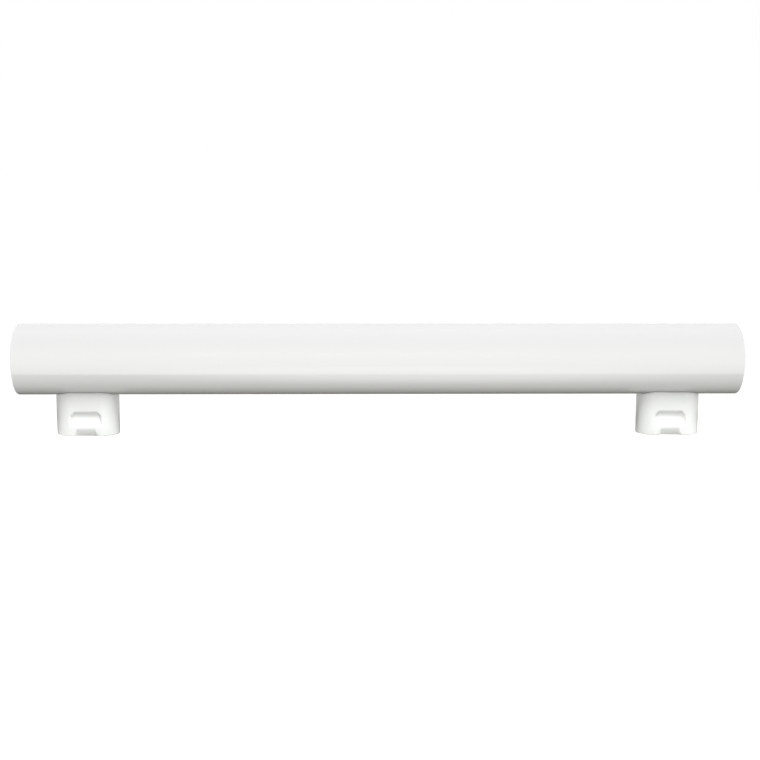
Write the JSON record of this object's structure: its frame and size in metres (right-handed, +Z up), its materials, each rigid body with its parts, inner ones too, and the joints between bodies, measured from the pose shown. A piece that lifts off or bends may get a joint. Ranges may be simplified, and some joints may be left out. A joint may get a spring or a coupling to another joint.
{
  "type": "tubular light bulb",
  "caption": "Straight opal tube lamp on oblong snap-in base pegs with foot contacts, for push-in linear lamp holders.",
  "frame": {"origin": "midway between the two base pegs, on the plane of their feet", "axes": "+X along the tube towards the right peg, -Y to the front, +Z up from the pegs' feet to the tube"},
  "size_m": [0.3, 0.0293, 0.0457],
  "materials": {
    "opal_tube": "high gloss, opal white",
    "base_plastic": "satin gloss, moulded white",
    "contact_metal": "nickel-plated, brushed by use"
  },
  "bodies": {
    "root": {"opal_tube": "opal_tube", "left_base_peg": "base_plastic", "right_base_peg": "base_plastic", "left_contact": "contact_metal", "right_contact": "contact_metal"}
  },
  "joints": []
}
